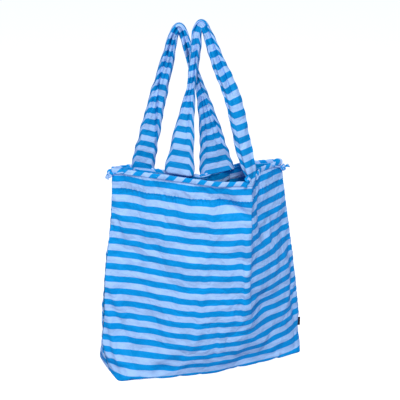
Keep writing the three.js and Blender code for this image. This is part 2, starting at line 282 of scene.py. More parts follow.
def join(name, parts):
    """One object from several with the same material."""
    work = bmesh.new()
    for part in parts:
        work.from_mesh(part.data)
    mesh = bpy.data.meshes.new(name)
    work.to_mesh(mesh)
    work.free()
    mesh.materials.append(parts[0].data.materials[0])
    for part in parts:
        bpy.data.objects.remove(part)
    piece = bpy.data.objects.new(name, mesh)
    bpy.context.scene.collection.objects.link(piece)
    return face_out(piece)


OFF_AXIS = (0.3, 0.2, 0.93)  # a direction that no cord starts in


def sweep(path, width, thickness, sides=12, twist=0.0):
    """Rings of a flattened tube along a path of points, with the distance along it."""
    path = np.asarray(path, float)
    along = unit(np.gradient(path, axis=0))
    across = np.cross(along[0], OFF_AXIS)
    angle = np.arange(sides) * TAU / sides
    rings = []
    for i, (p, d) in enumerate(zip(path, along)):
        across = unit(across - d * across.dot(d))
        other = np.cross(d, across)
        turn = twist * i / len(path)
        x = math.cos(turn) * across + math.sin(turn) * other
        y = np.cross(d, x)
        w = width[i] if np.ndim(width) else width
        rings.append(
            p + np.outer(np.cos(angle) * w / 2, x) + np.outer(np.sin(angle) * thickness / 2, y)
        )
    return np.array(rings), path_length(path)


def dress(piece, body, node):
    """Puts a piece on the body it rides on and hides the CAD node it stands for."""
    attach(piece, body)
    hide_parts(node)
    return piece


def tube_piece(name, path, width, thickness, material, sides=12, twist=0.0, bias=True):
    rings, length = sweep(path, width, thickness, sides, twist)
    size = float(np.mean(width))
    start = 0 if bias else -PITCH / 2  # cut along the stripes, a cord is all blue
    around = start + np.linspace(0, math.pi * (size + thickness) / 2, sides + 1)
    h, s = np.meshgrid(around, length)
    return face_out(grid_mesh(name, rings, on_cloth(s, h, bias), material, wrap=True))


# ---- materials ----
class Nodes:
    """Short calls for a material's node tree."""

    def __init__(self, name):
        self.material = bpy.data.materials.new(name)
        self.material.use_nodes = True
        self.tree = self.material.node_tree
        self.shader = self.tree.nodes["Principled BSDF"]

    def add(self, kind, inputs=(), **settings):
        node = self.tree.nodes.new(kind)
        for key, value in settings.items():
            setattr(node, key, value)
        for key, value in dict(inputs).items():
            if isinstance(value, bpy.types.NodeSocket):
                self.tree.links.new(value, node.inputs[key])
            else:
                node.inputs[key].default_value = value
        return node.outputs

    def math(self, operation, a, b=0.0, c=0.0):
        return self.add("ShaderNodeMath", {0: a, 1: b, 2: c}, operation=operation)[0]

    def ramp(self, value, low, high, out_low, out_high):
        inputs = {"Value": value, "From Min": low, "From Max": high}
        inputs.update({"To Min": out_low, "To Max": out_high})
        return self.add("ShaderNodeMapRange", inputs, interpolation_type="SMOOTHSTEP")[0]

    def noise(self, place, scale, detail=2.0):
        return self.add(
            "ShaderNodeTexNoise", {"Vector": place, "Scale": scale, "Detail": detail}
        )["Fac"]

    def mix(self, share, a, b, blend="MIX"):
        node = self.tree.nodes.new("ShaderNodeMix")
        node.data_type, node.blend_type = "RGBA", blend
        for socket, value in zip((node.inputs[0], node.inputs[6], node.inputs[7]), (share, a, b)):
            if isinstance(value, bpy.types.NodeSocket):
                self.tree.links.new(value, socket)
            else:
                socket.default_value = value
        return node.outputs[2]

    def link(self, socket, name):
        self.tree.links.new(socket, self.shader.inputs[name])

    def bump(self, height, strength, distance):
        inputs = {"Height": height, "Strength": strength, "Distance": distance}
        self.link(self.add("ShaderNodeBump", inputs)["Normal"], "Normal")


THREADS_PER_PITCH = 46.0  # so a thread is about half a millimetre
STRIPE_BLUR = 0.012


def weave(m, place):
    """The cloth's plain weave as a height: threads over and under by turns."""
    parts = m.add("ShaderNodeSeparateXYZ", {0: place})
    lines = []
    for axis in ("X", "Y"):
        turn = m.math("MULTIPLY", parts[axis], TAU * THREADS_PER_PITCH / 2)
        lines.append(m.math("SINE", turn))
    return m.math("MULTIPLY", lines[0], lines[1])


FACET_SCALE = 0.42  # facets per stripe pair
FACET_DEPTH = 75.0


def striped_cloth(name, dark, light):
    """The striped nylon, in the colours of its two stripes."""
    m = Nodes(name)
    place = m.add("ShaderNodeUVMap", uv_map="cloth")["UV"]
    across = m.add("ShaderNodeSeparateXYZ", {0: place})["Y"]
    wander = m.math("MULTIPLY_ADD", m.noise(place, 3.0, 3), 0.02, -0.01)
    wave = m.math("PINGPONG", m.math("ADD", m.math("ADD", across, wander), 0.25), 0.5)
    blue = m.ramp(wave, 0.25 - STRIPE_BLUR, 0.25 + STRIPE_BLUR, 1.0, 0.0)
    colour = m.mix(blue, light, dark)
    faded = m.ramp(m.noise(place, 1.1, 4), 0.3, 0.7, 0.93, 1.05)
    flecks = m.ramp(m.noise(place, 38.0, 2), 0.2, 0.8, 0.96, 1.03)
    grey = m.math("MULTIPLY", faded, flecks)
    shade = m.add("ShaderNodeCombineColor", {0: grey, 1: grey, 2: grey})[0]
    m.link(m.mix(1.0, colour, shade, "MULTIPLY"), "Base Color")
    m.link(m.ramp(m.noise(place, 6.0, 3), 0.25, 0.75, 0.42, 0.58), "Roughness")
    m.shader.inputs["Specular IOR Level"].default_value = 0.06
    fine = m.math("MULTIPLY", m.noise(place, 9.0, 4), 2.2)
    small = m.math("ADD", m.math("MULTIPLY", weave(m, place), 0.25), fine)
    # Facets left by folding: flat areas that meet in crisp, slightly wandering creases.
    bent = m.add("ShaderNodeTexNoise", {"Vector": place, "Scale": 1.3, "Detail": 2.0})["Color"]
    near = m.add("ShaderNodeVectorMath", {0: place, 1: bent}, operation="ADD")[0]
    inputs = {"Vector": near, "Scale": FACET_SCALE}
    cells = m.add("ShaderNodeTexVoronoi", inputs, feature="DISTANCE_TO_EDGE")
    facets = m.math("MULTIPLY", cells["Distance"], FACET_DEPTH)
    m.bump(m.math("ADD", small, facets), 0.35, 0.0006)
    return m.material


def plain_cloth(name, colour, roughness):
    """Tape and thread in one colour, ribbed across."""
    m = Nodes(name)
    place = m.add("ShaderNodeUVMap", uv_map="cloth")["UV"]
    tone = m.ramp(m.noise(place, 14.0, 3), 0.25, 0.75, 0.86, 1.1)
    shade = m.add("ShaderNodeCombineColor", {0: tone, 1: tone, 2: tone})[0]
    m.link(m.mix(1.0, colour, shade, "MULTIPLY"), "Base Color")
    uneven = m.ramp(m.noise(place, 20.0, 2), 0.25, 0.75, roughness - 0.08, roughness + 0.08)
    m.link(uneven, "Roughness")
    m.shader.inputs["Specular IOR Level"].default_value = 0.25
    m.shader.inputs["Sheen Weight"].default_value = 0.1
    m.bump(weave(m, place), 0.4, 0.0003)
    return m.material


STRIPED = striped_cloth("striped_nylon", BLUE, PERIWINKLE)
# The straps' copy of the stripes: its darker colours are painted shade, for cloth sewn double.
SHADED_DOUBLE = striped_cloth("striped_nylon_double_shaded", SHADED_DOUBLE_BLUE, SHADED_DOUBLE_PERIWINKLE)
TAPE = plain_cloth("seam_tape", PERIWINKLE, 0.6)
STITCH = plain_cloth("thread", THREAD, 0.55)
LABEL = plain_cloth("label_tape", BLACK, 0.7)


# ---- wrinkles of the walls ----
# Dents and creases of each wall, listed on its cloth: where each starts and ends, as a share
# of the width and a height, how deep it goes (inwards if negative) and how wide it is.
FRONT_CREASES = [
    ((0.47, 372), (0.505, 362), -2.6, 3.2),  # the pinch under the left foot's edge
    ((0.46, 354), (0.64, 316), -5.6, 14),  # the soft hollow under the dip
    ((0.56, 345), (0.64, 322), -2.4, 9),
    ((0.03, 300), (0.14, 286), 1.3, 6),
    ((0.05, 262), (0.10, 196), -1.6, 9),
    ((0.30, 362), (0.34, 190), -1.2, 10),
    ((0.40, 330), (0.38, 120), 1.2, 12),
    ((0.16, 350), (0.21, 150), 0.9, 12),
    ((0.62, 210), (0.50, 120), 1.3, 10),
    ((0.66, 190), (0.78, 96), -1.2, 12),
    ((0.07, 66), (0.22, 20), 1.6, 8),
    ((0.05, 120), (0.16, 40), -1.5, 9),
    ((0.80, 350), (0.83, 210), 1.1, 7),
    ((0.88, 330), (0.86, 180), -1.0, 7),
]
BACK_CREASES = [
    ((0.20, 350), (0.26, 180), -1.6, 10),
    ((0.42, 355), (0.40, 140), 1.5, 12),
    ((0.60, 352), (0.66, 170), -1.8, 11),
    ((0.78, 330), (0.74, 120), 1.3, 10),
    ((0.10, 200), (0.24, 50), -1.6, 11),
    ((0.88, 190), (0.72, 40), 1.6, 12),
    ((0.46, 130), (0.56, 30), -1.2, 12),
]
CREASE_GAIN = 1.7  # every crease is made this much deeper than its listed depth
BUNCH_START, BUNCH_END = 0.70, 0.84  # the rim's tightest gathers, right of the front knot
LOOSE = 0.55  # how tightly the rest of the front's rim is gathered
GATHER_WAVE = 8.5


def bunching(side, u):
    """How tightly the rim is gathered: 1 all along the back."""
    if side is BACK:
        return np.ones_like(u)
    tight = smooth(BUNCH_START, BUNCH_START + 0.03, u) * (1 - smooth(BUNCH_END - 0.05, BUNCH_END, u))
    return LOOSE + 1.9 * tight


def cloth_distance(side, u):
    """Distance along the rim's own cloth, which runs ahead where it is bunched."""
    fine = np.linspace(0, 1, 801)
    rate = 1.1 + 0.27 * smooth(0.3, 0.5, fine)
    if side is FRONT:
        rate += 0.15 * (bunching(side, fine) - LOOSE)
    total = np.concatenate([[0], np.cumsum((rate[1:] + rate[:-1]) / 2 * np.diff(fine))])
    return np.interp(u, fine, total) * rim_length(side)


def crease_field(side, u, z):
    """Depth of the listed creases and dents, in mm."""
    length = rim_length(side)
    total = np.zeros(np.broadcast(u, z).shape)
    for (u0, z0), (u1, z1), depth, width in FRONT_CREASES if side is FRONT else BACK_CREASES:
        d = np.array([(u1 - u0) * length, z1 - z0])
        x, y = (u - u0) * length, z - z0
        t = np.clip((x * d[0] + y * d[1]) / d.dot(d), 0, 1)
        away = np.hypot(x - t * d[0], y - t * d[1]) / width
        total = total + depth * np.exp(-(away**1.5)) * np.sin(math.pi * (0.15 + 0.7 * t))
    return total


def relief(side, u, z):
    """The broad creases, facets and dents of a wall, in mm. Its facing follows them too."""
    length, seed = rim_length(side), side["seed"]
    soft = 2.2 * crumple(u * length, z, 80, seed + 5, stretch=2.4)
    facets = 2.5 * np.abs(crumple(u * length, z, 64, seed + 7, stretch=1.8))
    to_seam = np.minimum(u, 1 - u) * length
    calm = smooth(0, 26, z) * smooth(-4, 24, to_seam)
    return calm * (soft - facets + CREASE_GAIN * crease_field(side, u, z))


def wrinkles(side, u, z):
    """How far the wall's cloth stands out from its smooth shape, in mm."""
    length, seed = rim_length(side), side["seed"]
    s = u * length
    below = rim_height(side, u) - BAND_HEIGHT - z
    tight = bunching(side, u)
    reach = 15 + 7 * np.tanh(ripple(s, 40, seed + 3))
    fading = np.exp(-np.maximum(below, 0) / reach)
    gathers = 0.75 * tight * ripple(s + 0.04 * below, GATHER_WAVE, seed) * fading
    hem = z - HEM_LINE
    puckers = 1.15 * ripple(s, 6.0, seed + 1) * np.exp(-((hem / 5.0) ** 2))
    groove = -0.9 * np.exp(-((hem / 1.6) ** 2))
    fine = 0.32 * crumple(s, z, 17, seed + 9, stretch=1.4)
    to_seam = np.minimum(u, 1 - u) * length
    seam_pucker = 0.5 * ripple(z, 11, seed + 11) * np.exp(-to_seam / 9)
    body = gathers + puckers + groove + smooth(0, 26, z) * (fine + seam_pucker)
    return (body + relief(side, u, z)) * smooth(0, 5, to_seam + 2)


SIM_COLS, SIM_ROWS = 96, 84
SIM_FRAMES = 22
SIM_GROWTH = 0.007  # how much too large the cloth is for the shape, so that it buckles
SIM_LIMIT = 5.0  # the furthest that the cloth may have moved, in mm
SIM_START_RUMPLE = 0.4  # the cloth starts this much rumpled, so that it buckles the same way each time


def settled(side):
    """Where a wall's cloth lies after cloth simulation, less where it lay, on a coarse grid in mm.

    The wall is held along its seams, its rim and the base, and is a little too large between them."""
    u = np.linspace(SEAM_MARGIN, 1 - SEAM_MARGIN, SIM_COLS)
    z = np.linspace(0, RIM - BAND_HEIGHT - side["sag"], SIM_ROWS)
    rest = wall_points(side, u, z, WALL_MIDDLE)
    rumple = SIM_START_RUMPLE * crumple(u[None] * 400, z[:, None], 45, side["seed"])
    start = rest + surface_normals(rest) * rumple[..., None]
    sheet = grid_mesh("settling", start, on_cloth(*np.meshgrid(u, z)), STRIPED)
    held = sheet.vertex_groups.new(name="held")
    index = np.arange(SIM_COLS * SIM_ROWS).reshape(SIM_ROWS, SIM_COLS)
    edges = np.concatenate([index[0], index[-1], index[:, 0], index[:, -1]])
    held.add([int(i) for i in np.unique(edges)], 1.0, "REPLACE")
    cloth = sheet.modifiers.new("cloth", "CLOTH")
    settings = cloth.settings
    settings.quality = 6
    settings.mass = 0.12
    settings.tension_stiffness = settings.compression_stiffness = 12
    settings.shear_stiffness = 6
    settings.bending_stiffness = 0.08
    settings.air_damping = 4
    settings.vertex_group_mass = "held"
    settings.shrink_min = settings.shrink_max = -SIM_GROWTH
    cloth.collision_settings.use_collision = False
    scene = bpy.context.scene
    for step in range(1, SIM_FRAMES + 1):
        scene.frame_set(step)
    done = sheet.evaluated_get(bpy.context.evaluated_depsgraph_get()).data
    moved = np.empty(len(done.vertices) * 3)
    done.vertices.foreach_get("co", moved)
    moved = moved.reshape(SIM_ROWS, SIM_COLS, 3) / MM - rest
    bpy.data.objects.remove(sheet)
    scene.frame_set(1)
    size = np.linalg.norm(moved, axis=-1, keepdims=True)
    return moved * np.minimum(1, SIM_LIMIT / np.maximum(size, 1e-6))


def resample(values, count):
    """A smooth curve through rows of values, read at `count` even steps."""
    at = np.linspace(0, len(values) - 1, count)
    i = np.clip(at.astype(int), 0, len(values) - 2)
    t = (at - i)[:, None, None]
    before, after = values[np.maximum(i - 1, 0)], values[np.minimum(i + 2, len(values) - 1)]
    a, b = values[i], values[i + 1]
    return 0.5 * (
        2 * a + (b - before) * t + (2 * before - 5 * a + 4 * b - after) * t**2
        + (3 * a - before - 3 * b + after) * t**3
    )


def spread(field, rows, cols):
    """A coarse grid of vectors read smoothly at more rows and columns."""
    return resample(resample(field, rows).swapaxes(0, 1), cols).swapaxes(0, 1)


WALL_COLS, WALL_ROWS = 250, 176
WALL_FOOT = 0.3  # the wall's cloth stays this far above the floor
HEM_FADE = 40.0  # the simulated movement dies away over this height, as the hem is stiff
RIM_PULL = 3.6  # how far the gathered band draws the cloth up near the rim


def wall(name, node, side):
    u = np.linspace(SEAM_MARGIN, 1 - SEAM_MARGIN, WALL_COLS)
    z = np.linspace(WALL_FOOT, RIM - BAND_HEIGHT + 2 - side["sag"], WALL_ROWS)
    turn = np.maximum(FLOOR_CURVE - z, 0)
    inset = FLOOR_CURVE - np.sqrt(FLOOR_CURVE**2 - turn**2)
    base = wall_points(side, u, z, (WALL_MIDDLE - inset)[:, None])
    soft_part = 1 - smooth(HEM_LINE - HEM_FADE, HEM_LINE, z)
    moved = spread(settled(side), WALL_ROWS, WALL_COLS) * soft_part[:, None, None]
    out = surface_normals(base)
    if (out[..., 1].mean() > 0) != (side["outward"] > 0):
        out = -out
    points = base + moved + out * wrinkles(side, u[None], z[:, None])[..., None]
    points[..., 2] = np.clip(points[..., 2], WALL_FOOT, RIM)
    shift = BACK_SHIFT if side is BACK else 0.0
    drawn_up = RIM_PULL * smooth(300, 372, z)
    s, h = np.meshgrid(u * rim_length(side), z - STRIPE_START + shift - drawn_up)
    piece = thicken(grid_mesh(name, points, on_cloth(s, h), STRIPED))
    return dress(piece, "bag", node)


BASE_COLS, BASE_ROWS = 120, 40
BASE_FOOT = 0.35  # the middle of the base's cloth, so that its lower face clears the floor
BASE_SEED = 71


def base_sheet():
    """The base's cloth, a little raised off the floor away from its edges."""
    u = np.linspace(0, 1, BASE_COLS)
    front, back = (wall_points(side, u, 0, WALL_MIDDLE - FLOOR_CURVE)[0] for side in (FRONT, BACK))
    share = np.linspace(0, 1, BASE_ROWS)[:, None, None]
    points = front * (1 - share) + back * share
    raised = 1.1 + 0.5 * crumple(points[..., 0], points[..., 1], 55, BASE_SEED)
    points[..., 2] = BASE_FOOT + np.maximum(raised, 0) * np.sin(math.pi * share[..., 0]) ** 0.5
    piece = thicken(grid_mesh("base", points, on_cloth(points[..., 0], points[..., 1]), STRIPED))
    return dress(piece, "bag", "base_panel")


# ---- the band round the mouth ----
BAND_COLS, BAND_AROUND = 420, 26
BAND_PHASE = 9.0  # where the band's stripes start, along the rim


def band(name, node, side):
    """The band: a flattened tube along the rim, with the gathers of the wall's top."""
    u = np.linspace(SEAM_MARGIN, 1 - SEAM_MARGIN, BAND_COLS)
    gathers = (bunching(side, u) * ripple(u * rim_length(side), GATHER_WAVE, side["seed"]))[:, None]
    angle = np.arange(BAND_AROUND) * TAU / BAND_AROUND - math.pi / 2
    c, s = np.cos(angle), np.sin(angle)
    round_out = np.sign(c) * np.abs(c) ** 0.62 * (1 + 0.10 * gathers * (1 - s))
    outward = BAND_DEPTH / 2 - 0.3 + (BAND_DEPTH / 2 - 0.4) * round_out
    outward = outward + 0.5 * gathers * (1 - smooth(-1, 0.6, s))
    foot = wall_points(side, u, RIM - BAND_HEIGHT / 2)[0]
    normal = wall_points(side, u, RIM - BAND_HEIGHT / 2, 1.0)[0] - foot
    points = foot[:, None] + outward[..., None] * normal[:, None]
    rim = rim_height(side, u)[:, None] + 0.45 * gathers
    points[..., 2] = rim - BAND_HEIGHT / 2 * (1 - np.sign(s) * np.abs(s) ** 0.8)
    ring = points[BAND_COLS // 2]
    h, s = np.meshgrid(path_length([*ring, ring[0]]), cloth_distance(side, u))
    cloth = on_cloth(s + BAND_PHASE, h, bias=True)
    piece = face_out(grid_mesh(name, points, cloth, STRIPED, wrap=True))
    return dress(piece, "bag", node)


FACING_COLS, FACING_ROWS = 200, 26
FACING_ENDS = 0.05  # share of the width that it leaves free at each side seam
FACING_DEPTH = 3.6  # behind the wall's inner face
FACING_BELOW_RIM = 3.0
FACING_THICKNESS = 0.4


def facing(name, node, side):
    """The hem turned to the inside, from just below its stitching up into the band."""
    u = np.linspace(FACING_ENDS, 1 - FACING_ENDS, FACING_COLS)
    z = np.linspace(HEM_LINE - 3, RIM - side["sag"] - FACING_BELOW_RIM, FACING_ROWS)
    share = np.linspace(0, 1, FACING_ROWS)[:, None]
    puckers = 0.4 * ripple(u * rim_length(side), 7.0, side["seed"])[None] * (1 - share)
    points = wall_points(side, u, z, relief(side, u[None], z[:, None]) - FACING_DEPTH + puckers)
    top = rim_height(side, u)[None] - FACING_BELOW_RIM
    points[..., 2] = z[0] + share * (top - z[0])
    s, h = np.meshgrid(u * rim_length(side), z - z[-1])
    piece = thicken(grid_mesh(name, points, on_cloth(s, h), STRIPED), FACING_THICKNESS)
    return dress(piece, "bag", node)


# ---- stitching: real threads, each a short capsule ----
STITCH_LENGTH, STITCH_STEP, STITCH_RADIUS = 2.3, 3.2, 0.26
STITCH_RINGS, STITCH_SIDES = 3, 6
STITCHED = 0.94  # share of the width that the row of stitches takes up


def stitch_row(side):
    """Threads along the hem line, lying on the wall's outer face: three points for each."""
    length = rim_length(side)
    count = int(length * STITCHED / STITCH_STEP)
    half = STITCH_LENGTH / 2 / length
    mids = (1 - STITCHED) / 2 + STITCHED * (np.arange(count) + 0.5) / count
    rows = []
    for offset, lift in ((-half, 0.0), (0.0, 0.15), (half, 0.0)):
        u = mids + offset
        out = WALL_MIDDLE + CLOTH_THICKNESS / 2 + lift + wrinkles(side, u, HEM_LINE)
        rows.append(wall_points(side, u, HEM_LINE, out[None])[0])
    return np.stack(rows, 1)


def stitching(name, side):
    widths = [0.5 * STITCH_RADIUS, 2 * STITCH_RADIUS, 0.5 * STITCH_RADIUS]
    capsules = [
        sweep(path, widths, 2 * STITCH_RADIUS, sides=STITCH_SIDES)[0] for path in stitch_row(side)
    ]
    points = np.reshape(capsules, (-1, 3))
    one, _ = grid_faces(STITCH_RINGS, STITCH_SIDES, wrap=True)
    starts = range(0, len(points), STITCH_RINGS * STITCH_SIDES)
    faces = [[start + corner for corner in face] for start in starts for face in one]
    piece = face_out(make_mesh(name, points, faces, faces, points[:, [0, 2]] / PITCH, STITCH))
    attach(piece, "bag")
    return piece


# ---- handles ----
# Each route stop is a point on the strap's middle and the strap's width there. They
# are the CAD handles' stops, some of them moved by 1 to 7 mm to match the photo more closely, with
# others added at the feet.
FRONT_ROUTE = [
    ((-63, -66, 383.8), 49), ((-52, -62, 459), 31), ((-41, -60, 525), 14), ((-32, -57, 590), 16),
    ((-29, -57, 618), 14), ((-23, -60, 628), 14), ((-16, -63, 617), 15), ((-3, -75, 575), 21),
    ((18, -94, 513), 25), ((32, -111, 434), 26), ((39, -119, 400), 22), ((43, -123, 381), 8),
]
BACK_ROUTE = [
    ((-109, -10, 368), 39), ((-108, -9, 379.8), 38), ((-102, -11, 412), 35), ((-84, -20, 499), 27),
    ((-68, -27, 567), 20), ((-59, -31, 606), 14), ((-51, -34, 618), 14), ((-43, -37, 600), 15),
    ((-33, -40, 557), 13), ((-20, -43, 517), 14), ((-4, -47, 449), 34), ((6, -53, 384), 56),
    ((7, -57, 375), 60),
]
# Long creases of each strap: where each starts and ends, as a place across the strap from -1 to 1 and
# a share of its length, and how deep it is.
STRAP_GROOVES = {
    "back_strap": [
        ((-0.95, 0.08), (0.75, 0.40), 3.2), ((0.5, 0.14), (0.1, 0.50), 2.0),
        ((-0.5, 0.50), (0.5, 0.72), 2.4), ((-0.6, 0.99), (-0.1, 0.66), 2.2),
        ((0.25, 0.97), (0.05, 0.68), 1.6), ((0.75, 0.98), (0.35, 0.64), 2.6),
    ],
    "front_strap": [
        ((-0.35, 0.10), (-0.2, 0.42), 1.8), ((0.45, 0.18), (0.1, 0.50), 1.6),
        ((-0.7, 0.24), (0.0, 0.44), 2.4), ((-0.5, 0.52), (-0.7, 0.80), 2.2),
        ((0.35, 0.56), (0.1, 0.74), 1.5),
    ],
}
STRAP_ROWS, STRAP_COLS = 300, 44
STRAP_CLOTH = 46.0  # width of the strap's cloth, sewn double
STRAP_THICKNESS = 1.1
STRAP_EDGE = 0.62  # from this share of its half width outwards the strap curls back
EDGE_CURL = 6.5  # how far back its edges then stand
EDGE_SHEAR = 17.0  # how far the stripes run back along the curled edges
BUNCHED_WIDTH, OPEN_WIDTH = 15, 30  # a strap this narrow is tightly bunched, and this wide it isn't
GROOVE_WIDTH = 1.5
GROOVE_GAIN = 1.7  # every groove is made this much deeper than its listed depth
GROOVE_SLIP = 0.5  # how far the stripes are out of step across a groove, as a share of its depth
FOLD_START, FOLD_FULL = 0.56, 0.66  # where the front strap's lengthwise fold begins, along it
FOLD_AT = -0.2  # where that fold's ridge lies, across the strap from -1 to 1
FOLD_HEIGHT, FOLD_SLOPE = 6.0, 11.0


def between(a, b, low, high, t):
    """The point that goes from a to b as t goes from low to high."""
    return (a * (high - t) + b * (t - low)) / (high - low)


def smooth_route(stops, count):
    """A centripetal curve through the stops, its widths, and each sample's place among the stops."""
    points = np.array([stop[0] for stop in stops], float)
    points = np.vstack([2 * points[0] - points[1], points, 2 * points[-1] - points[-2]])
    knots = np.concatenate([[0], np.cumsum(np.linalg.norm(np.diff(points, axis=0), axis=1) ** 0.5)])
    places = np.linspace(0, len(stops) - 1, count)
    line = []
    for place in places:
        i = min(int(place), len(stops) - 2)
        p, k = points[i:i + 4], knots[i:i + 4]
        t = k[1] + (place - i) * (k[2] - k[1])
        p = [between(p[j], p[j + 1], k[j], k[j + 1], t) for j in range(3)]
        p = [between(p[j], p[j + 1], k[j], k[j + 2], t) for j in range(2)]
        line.append(between(p[0], p[1], k[1], k[2], t))
    widths = np.interp(places, np.arange(len(stops)), [stop[1] for stop in stops])
    return np.array(line), widths, places


def strap_frame(line, turn):
    """Directions across the strap and out of its face, twisted by `turn` radians at each point."""
    normal = unit(np.cross(line[-1] - line[0], line[np.argmax(line[:, 2])] - line[0]))
    if normal[1] > 0:
        normal = -normal
    along = unit(np.gradient(line, axis=0))
    across = unit(np.cross(normal, along))
    across = np.cos(turn) * across + np.sin(turn) * np.cross(along, across)
    return across[:, None], np.cross(along, across)[:, None]


def strap_grooves(name, p, share, half):
    """How far the listed creases dent a strap, and how far they put its stripes out of step."""
    dents = slip = 0.0
    for (p0, d0), (p1, d1), deep in STRAP_GROOVES[name]:
        t = np.clip((share - d0) / (d1 - d0), 0, 1)
        off = (p - (p0 + (p1 - p0) * t)) * half
        strength = deep * np.sin(math.pi * t) ** 0.5
        dents = dents + GROOVE_GAIN * strength * np.exp(-((off / GROOVE_WIDTH) ** 2))
        slip = slip + GROOVE_SLIP * strength * np.tanh(off / 0.9)
    return dents, slip


def strap(name, stops, node, seed, folded_end, pitch, last_turn=0.0):
    """A handle whose stripe pairs are `pitch` apart. With folded_end 1 its last leg is folded
    lengthwise, and last_turn twists that leg, in degrees."""
    line, width, place = smooth_route(stops, STRAP_ROWS)
    turn = math.radians(last_turn) * smooth(len(stops) - 4, len(stops) - 1.5, place)[:, None]
    across, normal = strap_frame(line, turn)
    p = np.linspace(-1, 1, STRAP_COLS)[None]
    distance = path_length(line)[:, None] + 0 * p
    total = distance[-1, 0]
    half = width[:, None] / 2
    tight = 1 - smooth(BUNCHED_WIDTH, OPEN_WIDTH, width)[:, None]

    edge = np.maximum(np.abs(p) - STRAP_EDGE, 0) / (1 - STRAP_EDGE)
    x = np.sign(p) * (np.abs(p) - 0.12 * edge**2) * 1.13
    curl = -(EDGE_CURL + tight) * edge**1.1
    bunched = ripple(p * 9 + 0.035 * distance, 7.5, seed, 5) * (0.5 + 2.3 * tight)
    bunched = bunched * smooth(2, 45, np.minimum(distance, total - distance))
    dents, slip = strap_grooves(name, p, distance / total, half)
    rumple = 0.5 * crumple(distance, p * 18, 24, seed + 2) * (0.5 + tight)
    fold = folded_end * smooth(FOLD_START * total, FOLD_FULL * total, distance)
    ridge = fold * (FOLD_HEIGHT - FOLD_SLOPE * np.abs(p - FOLD_AT))
    out = curl * (1 - fold) + bunched - dents + rumple + ridge
    uneven = 1 + 0.05 * ripple(distance, 34, seed + 4)
    points = line[:, None] + (half * uneven * x)[..., None] * across + out[..., None] * normal

    shear = (1 - fold) * EDGE_SHEAR * edge * np.where(distance < total / 2, 1, -1)
    shear = shear + fold * np.where(p < FOLD_AT, 14.0 * (FOLD_AT - p), 1.0 * (p - FOLD_AT))
    s = np.broadcast_to(p * STRAP_CLOTH / 2, distance.shape)
    cloth = on_cloth(s, (distance + shear + slip) * PITCH / pitch)
    # The strap takes the darker stripes: painted shade for the doubled cloth.
    piece = thicken(grid_mesh(name, points, cloth, SHADED_DOUBLE), STRAP_THICKNESS)
    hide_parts(node)
    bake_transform(piece)
    return piece


SEWN_IN = 27.0  # how far below the rim a handle's sewn end reaches
SEWN_END_TOP = 2.0  # and how far below it the sewn end starts
SEWN_END_DEPTH = 2.3  # behind the wall's inner face
SEWN_END_THICKNESS = 0.9
SEWN_END_COLS, SEWN_END_ROWS = 30, 16


def sewn_end(name, node, side, foot, width):
    """A handle's sewn end, flat between the wall and the facing."""
    half = width / 2 / rim_length(side)
    u = np.linspace(foot - half, foot + half, SEWN_END_COLS)
    share = np.linspace(0, 1, SEWN_END_ROWS)[:, None]
    z = np.linspace(RIM - SEWN_IN, RIM - side["sag"] - SEWN_END_TOP, SEWN_END_ROWS)
    points = wall_points(side, u, z, relief(side, u[None], z[:, None]) - SEWN_END_DEPTH)
    points[..., 2] = rim_height(side, u)[None] - SEWN_IN + share * (SEWN_IN - SEWN_END_TOP)
    s, h = np.meshgrid(u * rim_length(side), np.linspace(0, SEWN_IN + 2, SEWN_END_ROWS))
    piece = thicken(grid_mesh(name, points, on_cloth(s, h), STRIPED), SEWN_END_THICKNESS)
    return dress(piece, "bag", node)


# ---- drawstring, knots, seam tape and label ----
CORD_WIDTH, CORD_THICKNESS = 3.0, 2.4
KNOT_CORD_WIDTH, KNOT_CORD_THICKNESS = 5.6, 4.2  # the cord opens out where it is tied
TAIL_START, TAIL_FLARE, TAIL_THICKNESS = 3.2, 5.0, 1.6  # its cut end is flat and wider
KNOT_REACH, TAIL_REACH = 5.0, 4.0  # from the start to the knot, and from there to the tail
CORD_ENDS = 0.10  # share of the width at each end of the band that is left to the knots' stubs


def drawstring(name, node, side):
    u = np.linspace(CORD_ENDS, 1 - CORD_ENDS, 160)
    line = wall_points(side, u, RIM - BAND_HEIGHT / 2, BAND_DEPTH / 2)[0]
    line[:, 2] = rim_height(side, u) - BAND_HEIGHT / 2
    piece = tube_piece(name, line, CORD_WIDTH, CORD_THICKNESS, STRIPED, sides=10, twist=22.0)
    return dress(piece, "bag", node)


def overhand(centre, out, size, count=110):
    """A tied knot's path: a trefoil about the direction `out`."""
    t = np.linspace(0, TAU, count)
    side = (np.sin(t) + 2 * np.sin(2 * t)) * size
    forward = (np.cos(t) - 2 * np.cos(2 * t)) * size * 0.8
    up = -1.25 * np.sin(3 * t) * size
    x = unit(np.cross((0, 0, 1) if abs(out[2]) < 0.9 else (1, 0, 0), out))
    y = np.cross(out, x)
    return centre + side[:, None] * y + forward[:, None] * out + up[:, None] * x


def tied_end(name, node, body, start, out, tail, drop, size=1.45, stub_length=22, bias=True):
    """A knotted end of the drawstring: its stub in the band, the knot and a flared tail.

    The knot lies in the direction `out` from start, and `drop` further; tail is how far the cut end
    hangs from it. Cloth cut on the bias is striped, and cut along the stripes it is all blue."""
    out, tail, drop = unit(out), np.asarray(tail, float), np.asarray(drop, float)
    knot = start + out * KNOT_REACH + drop
    step = np.linspace(0, 1, 14)[:, None]
    stub = start - out * stub_length * (1 - step) + (knot - start) * step
    end = knot + out * TAIL_REACH + tail * step + np.array([0, 0, -1.5]) * step**2
    flare = TAIL_START + TAIL_FLARE * step[:, 0]
    shapes = {  # path, width, thickness, sides, twist
        "_stub": (stub, CORD_WIDTH, CORD_THICKNESS, 10, 4.0),
        "_loop": (overhand(knot, out, size), KNOT_CORD_WIDTH, KNOT_CORD_THICKNESS, 12, 5.0),
        "_tail": (end, flare, TAIL_THICKNESS, 12, 0.8),
    }
    parts = []
    for part, (path, width, thickness, sides, twist) in shapes.items():
        parts.append(tube_piece(name + part, path, width, thickness, STRIPED, sides, twist, bias))
    return dress(join(name, parts), body, node)


